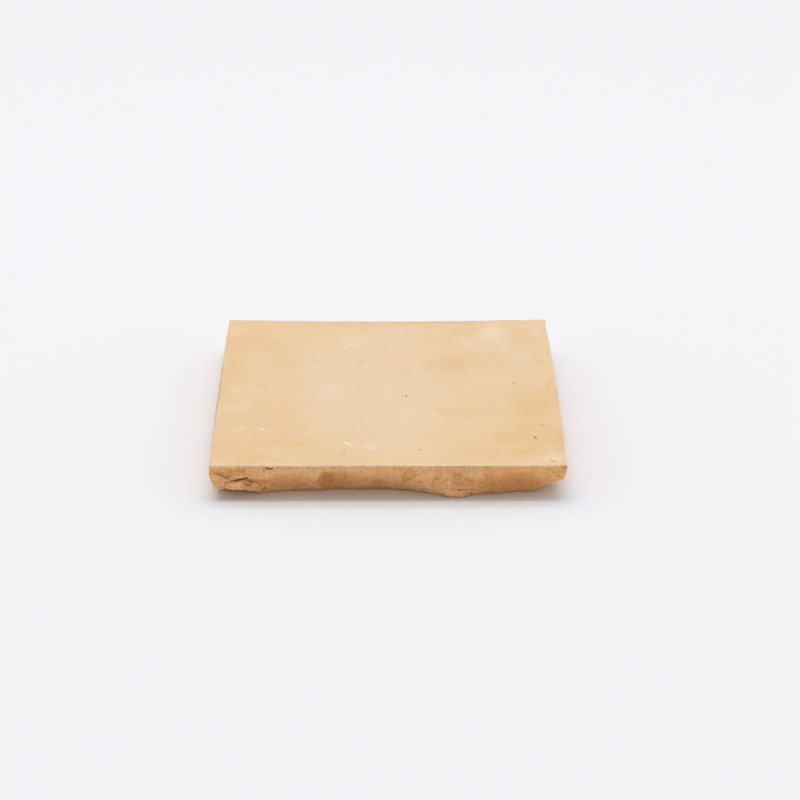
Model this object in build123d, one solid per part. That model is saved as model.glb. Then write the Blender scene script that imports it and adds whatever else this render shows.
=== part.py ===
from build123d import *
from dataclasses import dataclass
import math
import os

# A hand-cut zellige tile: one slab of fired clay, lying face up on its back.
# The origin is the middle of the back, +X runs to the right along the front
# edge, +Y runs away from the front edge, and +Z is up. Sizes are millimetres.

# The face, between its furthest points, and the slab's thickness
face_width = 100.0
face_length = 100.0
thickness = 11.0

# The face's edges are trimmed by eye: the middle of the left and right edges
# stands out from the line between their corners, and the back's lies inside.
left_edge_bow = 0.35
right_edge_bow = 0.4
back_edge_hollow = 0.6

# The face sags between its left and right edges, more towards the back.
front_sag = 0.1
back_sag = 0.35

# The upright band that the chisel leaves under the face, and its worn arris
band_height = 1.2
arris_wear = 0.25

# How far the foot of each side lies inside the face's edge before flaking
front_undercut = 1.4
right_undercut = 2.6
back_undercut = 2.4
left_undercut = 0.7

# One hammer blow falls about every stroke_pitch along a side.
stroke_pitch = 14.3

# The chisel's corner dragged a curved groove across the front's left end.
# Its middle is measured from the front's middle and up from the back.
groove_along = -42.0
groove_up = 7.2
groove_depth = 1.1
groove_section = 2.5
groove_reach = 26.0
groove_tilt = 8.0

# The front right corner is broken off below the face. These are the break's
# reaches from that corner: along the front, along the right side, and up.
break_along_front = 12.8
break_along_right = 22.0
break_up = 7.3

# How far a cutter or a rough slab runs on past the surface that it forms
overrun = 2.0

half_width = face_width / 2
half_length = face_length / 2


@dataclass
class Scar:
    """One flake scar, the shallow shell that a blow leaves in a side."""

    shift: float  # how far the blow fell from its even place along the side
    foot: float  # how far the scar's foot lies inside the face's edge
    lip: float  # the height of clay left between the face and the scar
    hollow: float  # how deep the scar is below its own straight chord
    sweep: float  # the scar's radius along the side
    lean: float  # how far the scar leans along the side, in degrees


# The front, left to right. The first blow broke away only the lower edge, and
# the fifth glanced off and left a nub.
front_scars = [
    Scar(shift=-1.6, foot=7.6, lip=7.3, hollow=0.4, sweep=26.0, lean=2.0),
    Scar(shift=2.0, foot=6.1, lip=1.8, hollow=0.8, sweep=42.0, lean=-6.0),
    Scar(shift=1.8, foot=7.0, lip=1.4, hollow=1.3, sweep=24.0, lean=5.0),
    Scar(shift=-4.0, foot=7.1, lip=2.2, hollow=0.8, sweep=45.0, lean=-3.0),
    Scar(shift=5.0, foot=1.6, lip=5.0, hollow=0.3, sweep=44.0, lean=3.0),
    Scar(shift=0.5, foot=4.1, lip=2.9, hollow=0.6, sweep=15.0, lean=6.0),
    Scar(shift=-5.5, foot=5.2, lip=1.4, hollow=1.2, sweep=25.0, lean=-8.0),
]

# The blows along the other sides were alike. Each side starts at its own.
other_scars = [
    Scar(shift=0.5, foot=5.2, lip=2.0, hollow=0.8, sweep=26.0, lean=-5.0),
    Scar(shift=-1.5, foot=4.3, lip=1.7, hollow=0.9, sweep=31.0, lean=6.0),
    Scar(shift=1.2, foot=5.6, lip=2.2, hollow=1.0, sweep=27.0, lean=-4.0),
    Scar(shift=2.4, foot=4.4, lip=1.8, hollow=0.7, sweep=34.0, lean=5.0),
    Scar(shift=-0.6, foot=5.9, lip=1.6, hollow=1.1, sweep=25.0, lean=-6.0),
    Scar(shift=-2.2, foot=4.0, lip=2.9, hollow=0.6, sweep=38.0, lean=3.0),
    Scar(shift=1.0, foot=5.0, lip=2.3, hollow=0.8, sweep=29.0, lean=-6.0),
]

# The right side, front to back. Its first blow only grazed the corner.
right_graze = Scar(shift=0.0, foot=3.2, lip=4.2, hollow=0.3, sweep=40.0, lean=3.0)
right_scars = [right_graze] + other_scars[1:]

# The back, right to left
back_scars = other_scars[3:] + other_scars[:3]

# The left side, back to front. Its last blow left it steep at the corner.
left_graze = Scar(shift=4.0, foot=2.2, lip=1.6, hollow=0.15, sweep=60.0, lean=-2.0)
left_scars = other_scars[5:] + other_scars[:4] + [left_graze]


def face_outline():
    """The face's edge: a straight front, bowed sides and a hollow back."""
    left = -half_width + left_edge_bow
    right = half_width - right_edge_bow
    front_left = (left, -half_length)
    front_right = (right, -half_length)
    back_right = (right, half_length)
    back_left = (left, half_length)
    edges = [
        Line(front_left, front_right),
        ThreePointArc(front_right, (half_width, 0), back_right),
        ThreePointArc(back_right, (0, half_length - back_edge_hollow), back_left),
        ThreePointArc(back_left, (-half_width, 0), front_left),
    ]
    return make_face(edges)


def foot_outline():
    """The back's edge, inside the face's by the undercut of each side."""
    left = -half_width + left_undercut
    right = half_width - right_undercut
    front = -half_length + front_undercut
    back = half_length - back_undercut
    corners = [(left, front), (right, front), (right, back), (left, back)]
    return make_face(Polyline(*corners, close=True))


def sagging_slab():
    """The fired slab before it is cut, with its sagging face."""
    reach_across = half_width + overrun
    reach_along = half_length + overrun

    def section(y, sag):
        # The arc passes through the face's edges and runs on past them.
        rise = sag * ((reach_across / half_width) ** 2 - 1)
        left_top = (-reach_across, thickness + rise)
        right_top = (reach_across, thickness + rise)
        outline = [
            Polyline(left_top, (-reach_across, 0), (reach_across, 0), right_top),
            ThreePointArc(right_top, (0, thickness - sag), left_top),
        ]
        return Plane.XZ.offset(-y) * make_face(outline)

    return loft([section(-reach_along, front_sag), section(reach_along, back_sag)], ruled=True)


def trimmed_slab():
    """The slab cut to the face's outline, with its sides undercut."""
    shoulder = thickness - band_height
    sides = loft([foot_outline(), Pos(0, 0, shoulder) * face_outline()], ruled=True)
    band = Pos(0, 0, shoulder) * extrude(face_outline(), band_height + overrun)
    slab = (sides + band) & sagging_slab()
    arris = slab.faces().sort_by(Axis.Z)[-1].edges()
    return fillet(arris, arris_wear)


def scar_cutter(scar, along):
    """The barrel that leaves one scar, in the frame of its side.

    That frame has x along the side, y into the tile and z up, and the face's
    edge is over y = 0. Through its middle, the scar's section is an arc from
    (0, thickness - lip) down to (foot, 0).
    """
    top = thickness - scar.lip
    chord = math.hypot(scar.foot, top)
    section_radius = (chord**2 / 4 + scar.hollow**2) / (2 * scar.hollow)
    end_height = chord / 2 + overrun
    end_radius = scar.sweep - section_radius + math.sqrt(section_radius**2 - end_height**2)
    low_end = (end_radius, -end_height)
    high_end = (end_radius, end_height)
    profile = [
        ThreePointArc(low_end, (scar.sweep, 0), high_end),
        Polyline(high_end, (0, end_height), (0, -end_height), low_end),
    ]
    barrel = revolve(Plane.XZ * make_face(profile), Axis.Z)
    # The barrel stands along the chord, with its side pressed into the tile.
    middle = Vector(0, scar.foot / 2, top / 2)
    outward = Vector(0, -top, -scar.foot) / chord
    up_chord = Vector(0, -scar.foot, top) / chord
    centre = middle + outward * (scar.sweep - scar.hollow)
    pressed = Plane(origin=centre, x_dir=(1, 0, 0), z_dir=up_chord) * barrel
    leaning = pressed.rotate(Axis(middle, (0, 1, 0)), scar.lean)
    return Pos(along, 0, 0) * leaning


def scar_cutters(scars, side_length):
    """A cutter for each blow along a side, in the side's frame."""
    blows = max(1, round(side_length / stroke_pitch))
    pitch = side_length / blows
    for blow in range(blows):
        scar = scars[blow % len(scars)]
        even_place = (blow + 0.5) * pitch - side_length / 2
        yield scar_cutter(scar, even_place + scar.shift)


def groove_cutter():
    """The ring whose outer side leaves the groove, in the front's frame."""
    ring = Torus(groove_reach - groove_section, groove_section)
    pressed = Pos(0, groove_depth - groove_reach, 0) * ring
    return Pos(groove_along, 0, groove_up) * Rot(0, groove_tilt, 0) * pressed


def corner_break():
    """The plane of the break, with its normal pointing out of the tile."""
    corner = Vector(half_width, -half_length, 0)
    normal = Vector(1 / break_along_front, -1 / break_along_right, -1 / break_up)
    return Plane(origin=corner + Vector(0, 0, break_up), z_dir=normal)


def zellige_tile():
    """The whole tile, flaked side by side and then broken at one corner."""
    tile = trimmed_slab()
    sides = [
        (front_scars, face_width, half_length, 0),
        (right_scars, face_length, half_width, 90),
        (back_scars, face_width, half_length, 180),
        (left_scars, face_length, half_width, 270),
    ]
    for scars, side_length, distance, turn in sides:
        side_frame = Rot(0, 0, turn) * Pos(0, -distance, 0)
        for cutter in scar_cutters(scars, side_length):
            tile = tile - side_frame * cutter
    tile = tile - Pos(0, -half_length, 0) * groove_cutter()
    return split(tile, bisect_by=corner_break(), keep=Keep.BOTTOM)


if __name__ == "__main__":
    os.makedirs("parts", exist_ok=True)
    tile = zellige_tile()
    tile.label = "zellige_tile"
    export_step(tile, "parts/zellige_tile.step")
    print("volume, cubic centimetres:", round(tile.volume / 1000, 2))
    print("faces:", len(tile.faces()))
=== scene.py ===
import math

import bmesh
import bpy
import numpy as np
from mathutils import Matrix, Vector, noise


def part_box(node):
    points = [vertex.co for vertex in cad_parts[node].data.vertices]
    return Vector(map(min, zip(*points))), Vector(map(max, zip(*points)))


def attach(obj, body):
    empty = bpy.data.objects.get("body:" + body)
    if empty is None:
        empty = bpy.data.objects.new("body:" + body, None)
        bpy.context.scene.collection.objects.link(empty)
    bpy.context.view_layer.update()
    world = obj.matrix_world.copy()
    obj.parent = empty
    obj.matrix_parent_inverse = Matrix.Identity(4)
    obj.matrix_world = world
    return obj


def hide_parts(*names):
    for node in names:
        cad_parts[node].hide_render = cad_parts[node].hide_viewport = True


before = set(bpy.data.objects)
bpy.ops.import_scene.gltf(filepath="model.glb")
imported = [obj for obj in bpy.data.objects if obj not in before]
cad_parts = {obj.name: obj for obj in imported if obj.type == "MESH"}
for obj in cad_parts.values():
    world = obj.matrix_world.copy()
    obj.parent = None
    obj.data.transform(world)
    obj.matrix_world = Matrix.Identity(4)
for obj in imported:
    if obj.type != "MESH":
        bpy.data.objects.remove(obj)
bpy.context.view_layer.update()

# The slab is one piece of low-fired clay, pressed flat and fired. It starts as the
# cut slab itself, laid out again as an even grid that can carry the marks of the
# work. All that follows changes this one mesh, so the tile stays in one piece.
mm = 0.001
grid_size = 0.2 * mm
same_point = 0.001 * mm
low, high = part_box("zellige_tile")
low_mm = np.array(low) / mm
high_mm = np.array(high) / mm

cut_slab = bmesh.new()
cut_slab.from_mesh(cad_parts["zellige_tile"].data)
bmesh.ops.remove_doubles(cut_slab, verts=cut_slab.verts, dist=same_point)
slab_mesh = bpy.data.meshes.new("cut_slab")
cut_slab.to_mesh(slab_mesh)
cut_slab.free()
tile = bpy.data.objects.new("zellige_clay", slab_mesh)
bpy.context.scene.collection.objects.link(tile)


def apply_modifiers(piece):
    """Keeps the mesh that the piece's modifiers make, and removes them."""
    old = piece.data
    graph = bpy.context.evaluated_depsgraph_get()
    piece.data = bpy.data.meshes.new_from_object(piece.evaluated_get(graph))
    piece.modifiers.clear()
    bpy.data.meshes.remove(old)


even_grid = tile.modifiers.new("even_grid", "REMESH")
even_grid.mode = "VOXEL"
even_grid.voxel_size = grid_size
apply_modifiers(tile)


def read_vectors(items, name):
    """A vector for each item, as rows of an array."""
    values = np.empty(len(items) * 3, np.float32)
    items.foreach_get(name, values)
    return values.reshape(-1, 3).astype(float)


# The marks are measured in millimetres. Push is how far each point moves out. The
# face is what faces up, and the back is what faces down just above the ground.
face_normal = 0.75
back_normal = -0.9
back_height = 0.3
points = read_vectors(tile.data.vertices, "co") / mm
outward = read_vectors(tile.data.vertex_normals, "vector")
push = np.zeros(len(points))
depth_below_face = high_mm[2] - points[:, 2]
is_face = outward[:, 2] > face_normal
is_back = (outward[:, 2] < back_normal) & (points[:, 2] < back_height)
is_side = ~is_face & ~is_back

# The sides are the clay's raw body, open since the hammer flaked them back under
# the face. They are torn and grainy, with the finest grain inside the scars.


def fade(values, start, end):
    """0 at start, 1 at end, and smooth between them."""
    t = np.clip((values - start) / (end - start), 0.0, 1.0)
    return t * t * (3.0 - 2.0 * t)


def wander(places, size, shift):
    """Smooth random heights, mostly -1 to 1, in lumps of about that size."""
    scaled = (places / size + shift).tolist()
    return np.array([noise.noise(place) for place in scaled]) * 2.0


def torn_facets(places, size, shift):
    """Heights of torn clay: flat facets of that size, each tilted its own way."""
    slope = 1.6
    step = 0.6
    # The facets' middles are taken this far apart, so that each has its own tilt.
    spread = 37.0
    heights = []
    for place in (places / size + shift).tolist():
        centre = noise.voronoi(place)[1][0]
        tilt = noise.cell_vector(centre * spread) - Vector((0.5, 0.5, 0.5))
        heights.append((Vector(place) - centre).dot(tilt) * slope + tilt.z * step)
    return np.array(heights)


def spot(places, centre, reach):
    """1 at the centre, fading to 0 at the reach, which is one for each axis."""
    far = np.linalg.norm((places - centre) / reach, axis=1)
    return 1.0 - fade(far, 0.0, 1.0)


def near_path(places, path):
    """How far each place lies from the path, and its share of the way along."""
    path = np.array(path)
    runs = np.linalg.norm(np.diff(path, axis=0), axis=1)
    begun = np.concatenate([[0.0], np.cumsum(runs)])
    nearest = np.full(len(places), np.inf)
    along = np.zeros(len(places))
    for start, end, run, passed in zip(path[:-1], path[1:], runs, begun):
        way = (end - start) / run
        reach = np.clip((places - start) @ way, 0.0, run)
        apart = np.linalg.norm(places - start - reach[:, None] * way, axis=1)
        closer = apart < nearest
        nearest[closer] = apart[closer]
        along[closer] = (passed + reach[closer]) / begun[-1]
    return nearest, along


def furrow(places, path, width):
    """1 along the path's middle, 0 past half the width, narrowing to its ends."""
    apart, along = near_path(places, path)
    slimmest = 0.02
    half = width / 2 * np.sqrt(np.clip(4.0 * along * (1.0 - along), slimmest, 1.0))
    return np.clip(1.0 - (apart / half) ** 2, 0.0, 1.0)


def shelf(places, edge, reach):
    """1 just under the edge line, nothing above it, fading out over the reach."""
    left_end = 0.3
    right_end = 0.8
    lip_above = 0.15
    lip_below = 0.2
    full_share = 0.2
    edge = np.array(edge)
    along = places[:, 0]
    under = np.interp(along, edge[:, 0], edge[:, 1]) - places[:, 1]
    begun = fade(along, edge[0, 0] - left_end, edge[0, 0] + left_end)
    going_on = 1.0 - fade(along, edge[-1, 0] - right_end, edge[-1, 0] + right_end)
    lip = fade(under, -lip_above, lip_below)
    return begun * going_on * lip * (1.0 - fade(under, reach * full_share, reach))


side = points[is_side]
band_start = 0.6
band_end = 3.0
below_band = fade(depth_below_face[is_side], band_start, band_end)
front_begins = -38.0
front_normal = -0.25
on_front = (side[:, 1] < front_begins) & (outward[is_side][:, 1] < front_normal)

# Places on the front side are given as (along, up). Where the blows tore the clay
# there, it is rough, and elsewhere the scars are smooth, the sixth most of all. Each
# torn zone has its centre, its reach and how torn it is.
front_places = side[:, [0, 2]]
torn_zones = [
    ((-45.0, 5.0), (10.0, 8.0), 1.0),
    ((-29.0, 5.0), (7.0, 6.0), 0.35),
    ((-2.0, 6.0), (9.0, 6.0), 0.45),
    ((-36.0, 3.0), (5.0, 4.0), 0.6),
    ((-20.6, 8.0), (1.6, 5.5), 0.7),
    ((0.5, 4.0), (5.0, 6.0), 0.45),
    ((9.5, 3.5), (6.0, 4.0), 0.5),
    ((19.5, 5.0), (9.0, 8.0), 0.9),
    ((46.0, 7.0), (4.5, 5.0), 0.55),
]
smooth_scar = 0.12
most_torn = 0.9
torn_patches = fade(wander(side, size=7.0, shift=11.3), start=0.0, end=0.9)
torn_amount = np.maximum(smooth_scar, most_torn * torn_patches)
torn_amount[on_front] = smooth_scar
in_sixth_scar = spot(front_places, centre=(35.5, 4.0), reach=(9.0, 8.0)) > 0.0
torn_amount[on_front & in_sixth_scar] = 0.0
for centre, reach, amount in torn_zones:
    zone = amount * spot(front_places, centre, reach) ** 0.5
    torn_amount = np.where(on_front, np.maximum(torn_amount, zone), torn_amount)

# The raw clay has fine grain and low lumps everywhere. Where it is torn it also has
# facets of two sizes and fine layers, which slant down to the right on the front.
grain_height = 0.055
lump_height = 0.08
layer_height = 0.05
facet_height = 0.36
small_facet_height = 0.12
least_rough = 0.5
lumps_in_band = 0.4
slant = np.array([[0.22, 1.1, 0.0], [0.22, 0.0, 0.2], [0.0, 2.6, 0.0]])
fine_grain = wander(side, size=0.7, shift=3.1) * grain_height
lumps = wander(side, size=2.2, shift=7.7) * lump_height
layers = wander(side @ slant, size=1.6, shift=1.3) * layer_height
facets = torn_facets(side, size=2.3, shift=5.0) * facet_height
facets += torn_facets(side, size=1.1, shift=2.0) * small_facet_height
side_push = fine_grain * (least_rough + torn_amount)
side_push += lumps * (least_rough + torn_amount) * (lumps_in_band + below_band)
side_push += (facets + layers) * torn_amount * below_band

# Layers of clay stand proud of each other, most of them under the groove on the left.
# Each has the line of its upper edge, its reach down and its height.
proud_layers = [
    ([(-49.0, 8.7), (-48.2, 8.6), (-46.8, 8.0), (-46.0, 7.5), (-45.3, 6.9)], 3.6, 0.42),
    ([(-44.8, 5.2), (-43.8, 5.8), (-42.5, 5.9), (-41.0, 6.0), (-39.8, 6.2), (-36.0, 4.8)], 3.2, 0.50),
    ([(-46.6, 5.2), (-45.4, 4.7), (-43.6, 4.3), (-41.0, 4.1)], 1.2, 0.22),
    ([(1.0, 1.1), (4.0, 1.0), (7.5, 0.7), (10.9, 0.8), (14.4, 0.5)], 1.0, 0.20),
    ([(11.0, 3.9), (12.5, 3.8), (14.5, 3.5), (16.5, 3.0), (18.0, 2.4)], 2.2, 0.22),
]
# Each crack has its path, its width and its depth.
cracks = [
    ([(-44.1, 5.6), (-43.1, 5.9), (-42.1, 6.0), (-40.8, 6.25), (-38.8, 6.8)], 0.85, 0.85),
    ([(-47.4, 7.3), (-46.4, 6.6), (-45.9, 5.7), (-45.0, 5.35), (-44.1, 5.6)], 0.7, 0.30),
    ([(-34.1, 10.5), (-33.3, 10.05), (-32.5, 9.85), (-31.7, 10.2)], 0.6, 0.7),
    ([(-40.6, 5.9), (-39.8, 5.5), (-38.8, 5.0), (-37.4, 5.1), (-35.8, 5.0)], 0.9, 0.28),
    ([(-33.9, 5.8), (-33.7, 4.6), (-34.3, 3.1), (-34.8, 1.6)], 0.6, 0.10),
    ([(17.5, 3.4), (18.6, 3.0), (19.7, 2.6)], 0.5, 0.25),
    ([(18.9, 2.7), (20.8, 2.65), (21.9, 2.6), (23.0, 2.4), (23.9, 1.9)], 0.75, 0.95),
    ([(-48.2, 8.6), (-46.8, 8.0), (-46.0, 7.5), (-45.2, 6.9), (-44.2, 6.9)], 0.55, 0.30),
    ([(4.6, 2.6), (6.6, 2.45)], 0.4, 0.15),
    ([(4.2, 1.9), (8.6, 2.1)], 0.35, 0.12),
    ([(-6.7, 4.8), (-5.7, 4.6)], 0.45, 0.30),
]
# Each ridge has its path, its width and its height.
ridges = [
    ([(-24.2, 5.2), (-22.9, 4.0), (-21.9, 3.0), (-20.7, 2.45), (-19.6, 1.4), (-18.4, 0.5)], 1.0, 0.42),
    ([(-20.6, 4.1), (-19.9, 4.8), (-19.4, 6.3), (-18.9, 8.6)], 1.0, 0.26),
    ([(-33.6, 10.8), (-32.8, 10.5), (-31.6, 10.5)], 0.7, 0.10),
    ([(4.2, 3.4), (7.8, 3.2)], 0.7, 0.24),
    ([(2.0, 6.4), (3.6, 5.0), (4.6, 3.9)], 0.7, 0.08),
    ([(21.2, 3.3), (22.6, 3.1), (23.8, 2.6)], 0.7, 0.24),
]
# Each dent has its centre, its reach and its depth. The first swells out instead.
dents = [
    ((-37.3, 3.4), (2.8, 2.4), -0.5),
    ((-33.5, 5.5), (0.5, 0.5), 0.22),
    ((-34.7, 1.7), (0.9, 0.8), 0.25),
    ((9.2, 4.95), (0.6, 0.45), 0.35),
    ((8.5, 4.3), (0.4, 0.35), 0.25),
    ((10.0, 3.6), (0.5, 0.4), 0.2),
    ((3.25, 10.1), (0.4, 0.4), 0.15),
    ((18.3, 9.0), (0.4, 0.8), 0.15),
    ((28.6, 1.6), (1.0, 0.7), 0.15),
    ((23.2, 0.5), (0.8, 0.8), 0.55),
    ((45.7, 8.9), (0.7, 0.5), 0.2),
    ((47.0, 7.6), (0.8, 0.5), 0.25),
    ((44.0, 7.6), (0.6, 0.5), 0.2),
    ((17.1, 10.8), (0.9, 0.6), 0.22),
]
front_push = np.zeros(len(side))
for edge, reach, height in proud_layers:
    front_push += height * shelf(front_places, edge, reach)
for path, width, depth in cracks:
    front_push -= depth * furrow(front_places, path, width)
for path, width, height in ridges:
    front_push += height * furrow(front_places, path, width)
for centre, reach, depth in dents:
    front_push -= depth * spot(front_places, centre, reach)
side_push[on_front] += front_push[on_front]

# The foot is crumbled all round, so that the tile rests a little inside it.
crumble_depth = 0.32
crumble_top = 0.75
crumble_full = 0.05
unevenness = 0.25
uneven_height = side[:, 2] + wander(side, size=1.7, shift=8.8) * unevenness
crumbled = 1.0 - fade(uneven_height, crumble_full, crumble_top)
side_push -= crumble_depth * crumbled

# The band beside the face's edge is set back, so that its grain doesn't stand out past
# the chisel's cut.
band_set_back = 0.16
push[is_side] = side_push - band_set_back * (1.0 - below_band)

# The face is the slab's skin, wiped smooth from left to right but still a little
# uneven. It has small pits where grit came out, and its edge is nicked all round and
# worn at the corners.
face = points[is_face]
wave_height = 0.05
ripple_height = 0.012
wipe_height = 0.008
along_the_wipe = [0.12, 1.0, 1.0]
face_push = wander(face, size=21.0, shift=2.2) * wave_height
face_push += wander(face, size=5.0, shift=9.1) * ripple_height
face_push += wander(face * along_the_wipe, size=0.8, shift=4.4) * wipe_height

# Each pit has its centre, its reach and its depth.
pits = [
    ((41.7, -32.5), (0.55, 0.85), 0.55),
    ((44.0, -25.0), (0.8, 0.6), 0.12),
    ((5.5, -5.0), (0.25, 1.0), 0.25),
    ((37.2, 3.5), (0.7, 0.5), 0.2),
    ((9.0, -40.0), (0.5, 0.5), 0.25),
    ((-12.2, -42.3), (1.0, 0.4), 0.15),
    ((45.8, -47.0), (1.2, 0.45), 0.3),
    ((45.7, -10.0), (0.4, 0.4), 0.12),
    ((38.3, -33.0), (0.35, 0.35), 0.1),
    ((-7.0, -20.5), (0.3, 0.5), 0.06),
]
for centre, reach, depth in pits:
    face_push -= depth * spot(face[:, :2], centre, reach)

# The face's waves lie just under the slab's own face, so that none stands out of it.
face_clearance = 0.05
push[is_face] = np.minimum(face_push - face_clearance, 0.0)

# Each nick is a rounded bite, with its centre, its reach and its depth.
nicks = [
    ((50.4, -50.2, 6.8), (3.0, 2.6, 2.0), 0.6),
    ((50.3, -50.6, 11.0), (6.5, 1.6, 2.0), 0.6),
    ((50.2, 47.6, 11.0), (1.4, 4.5, 4.0), 0.55),
    ((17.3, -50.0, 11.0), (1.1, 0.5, 0.6), 0.3),
    ((-33.0, -50.0, 11.0), (1.6, 0.4, 0.5), 0.12),
]

# Small nicks lie at random along the four edges. Each edge is written as the axis
# that it runs along, and its place on the other.
nicks_per_edge = 9
nicks_end = 48.0
smallest_nick = 0.4
largest_nick = 1.3
length_share = 1.4
width_share = 0.6
depth_share = 0.22
top = 11.0
chance = np.random.default_rng(8)
edges = [("x", -50.0), ("y", 50.0), ("x", 49.6), ("y", -50.0)]
for runs_along, offset in edges:
    for _ in range(nicks_per_edge):
        place = chance.uniform(-nicks_end, nicks_end)
        size = chance.uniform(smallest_nick, largest_nick)
        along = size * length_share
        across = size * width_share
        if runs_along == "x":
            nick = ((place, offset, top), (along, across, across), size * depth_share)
        else:
            nick = ((offset, place, top), (across, along, across), size * depth_share)
        nicks.append(nick)
nicks_reach_down = 5.6
near_edge = depth_below_face < nicks_reach_down
edge_points = points[near_edge]
edge_push = np.zeros(len(edge_points))
for centre, reach, depth in nicks:
    edge_push -= depth * spot(edge_points, centre, reach)
push[near_edge] += edge_push

# The back is hidden in the photograph. It is finished plainly: flat, and dimpled
# by the sandy ground on which the slab dried.
back = points[is_back]
hollow_depth = 0.12
dimple_depth = 0.04
hollows = np.abs(wander(back, size=11.0, shift=6.6)) * hollow_depth
dimples = np.abs(wander(back, size=1.1, shift=3.3)) * dimple_depth
push[is_back] = -hollows - dimples

# The marks are pressed into the grid, which is then thinned. Two values are kept for
# the finish: crease is how far each point stands proud of the clay just round it, and
# torn is how torn the side is there.
smoothings = 10
ends = np.empty(len(tile.data.edges) * 2, np.int32)
tile.data.edges.foreach_get("vertices", ends)
first, second = ends.reshape(-1, 2).T
neighbours = np.bincount(first, minlength=len(push)) + np.bincount(second, minlength=len(push))
around = push.copy()
for _ in range(smoothings):
    total = np.bincount(first, around[second], len(push))
    total += np.bincount(second, around[first], len(push))
    around = (around + total) / (neighbours + 1)

moved = np.clip(points + outward * push[:, None], low_mm, high_mm)
tile.data.vertices.foreach_set("co", (moved * mm).ravel())
tile.data.update()
torn_everywhere = np.zeros(len(points))
torn_everywhere[is_side] = torn_amount
for name, values in (("crease", push - around), ("torn", torn_everywhere)):
    kept = tile.data.attributes.new(name, "FLOAT", "POINT")
    kept.data.foreach_set("value", values.astype(np.float32))

# Each square of the grid counts as two triangles.
most_triangles = 190000
thinned = tile.modifiers.new("thinned", "DECIMATE")
thinned.decimate_type = "COLLAPSE"
thinned.ratio = most_triangles / (2 * len(tile.data.polygons))
apply_modifiers(tile)
thinned_points = np.clip(read_vectors(tile.data.vertices, "co"), low, high)
tile.data.vertices.foreach_set("co", thinned_points.ravel())
tile.data.polygons.foreach_set("use_smooth", [True] * len(tile.data.polygons))

# The clay's finishes share one grain: fired clay is sand and fine powder, with pale specks of lime and
# dark open pores all through it. The skin and the body also share one way of laying colour on the clay
# in soft patches: stains and dust, and also painted sheen, painted highlights and painted shade.


def add_node(tree, kind, inputs=None, **settings):
    """A new node with those settings, each input given its value or its link."""
    node = tree.nodes.new("ShaderNode" + kind)
    for name, value in settings.items():
        setattr(node, name, value)
    for key, value in (inputs or {}).items():
        if isinstance(value, bpy.types.NodeSocket):
            tree.links.new(value, node.inputs[key])
        else:
            node.inputs[key].default_value = value
    return node


def calculate(tree, operation, *values):
    """A Math node's answer."""
    return add_node(tree, "Math", dict(enumerate(values)), operation=operation).outputs[0]


def ramp(tree, value, start, end, lowest=0.0, highest=1.0, smooth=False):
    """The lowest at the start value, the highest at the end value."""
    inputs = {"Value": value, "From Min": start, "From Max": end, "To Min": lowest, "To Max": highest}
    kind = "SMOOTHSTEP" if smooth else "LINEAR"
    return add_node(tree, "MapRange", inputs, interpolation_type=kind).outputs[0]


def start_group(name, takes, gives):
    """A node group with its named inputs and outputs, still empty."""
    group = bpy.data.node_groups.new(name, "ShaderNodeTree")
    for title, value in takes.items():
        kind = "NodeSocketVector" if isinstance(value, tuple) else "NodeSocketFloat"
        group.interface.new_socket(title, in_out="INPUT", socket_type=kind).default_value = value
    for title in gives:
        group.interface.new_socket(title, in_out="OUTPUT", socket_type="NodeSocketFloat")
    given = group.nodes.new("NodeGroupInput").outputs
    made = group.nodes.new("NodeGroupOutput").inputs
    return group, given, made


clay_grain, given, made = start_group(
    "clay_grain", {"Place": (0.0, 0.0, 0.0), "Size": 0.6}, ["Tone", "Specks", "Pores", "Height"]
)
per_grain = calculate(clay_grain, "DIVIDE", 1.0, given["Size"])
sand = {"Vector": given["Place"], "Scale": per_grain, "Detail": 3.0, "Roughness": 0.6}
sand_tone = add_node(clay_grain, "TexNoise", sand).outputs["Fac"]
per_clump = calculate(clay_grain, "MULTIPLY", per_grain, 0.27)
clump = {"Vector": given["Place"], "Scale": per_clump, "Detail": 2.0}
clump_tone = add_node(clay_grain, "TexNoise", clump).outputs["Fac"]
sand_share = 0.75
sand_part = calculate(clay_grain, "MULTIPLY", sand_tone, sand_share)
both_tones = calculate(clay_grain, "MULTIPLY_ADD", clump_tone, 1.0 - sand_share, sand_part)
clay_grain.links.new(both_tones, made["Tone"])
clay_grain.links.new(sand_tone, made["Height"])

# Each kind of dot has its crowding, its size, its rarity and the channel of its cell's
# random colour that picks which cells hold one.
dot_kinds = [
    ("Specks", 0.8, 0.26, 0.74, "Red"),
    ("Pores", 0.62, 0.22, 0.70, "Green"),
]
dot_core = 0.4
choice_blur = 0.08
for title, crowding, size, rarity, channel in dot_kinds:
    per_dot = calculate(clay_grain, "MULTIPLY", per_grain, crowding)
    dot = add_node(clay_grain, "TexVoronoi", {"Vector": given["Place"], "Scale": per_dot})
    dot_shape = ramp(clay_grain, dot.outputs["Distance"], size, size * dot_core)
    lots = add_node(clay_grain, "SeparateColor", {0: dot.outputs["Color"]}).outputs
    chosen = ramp(clay_grain, lots[channel], rarity, rarity + choice_blur)
    clay_grain.links.new(calculate(clay_grain, "MULTIPLY", dot_shape, chosen), made[title])

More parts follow.
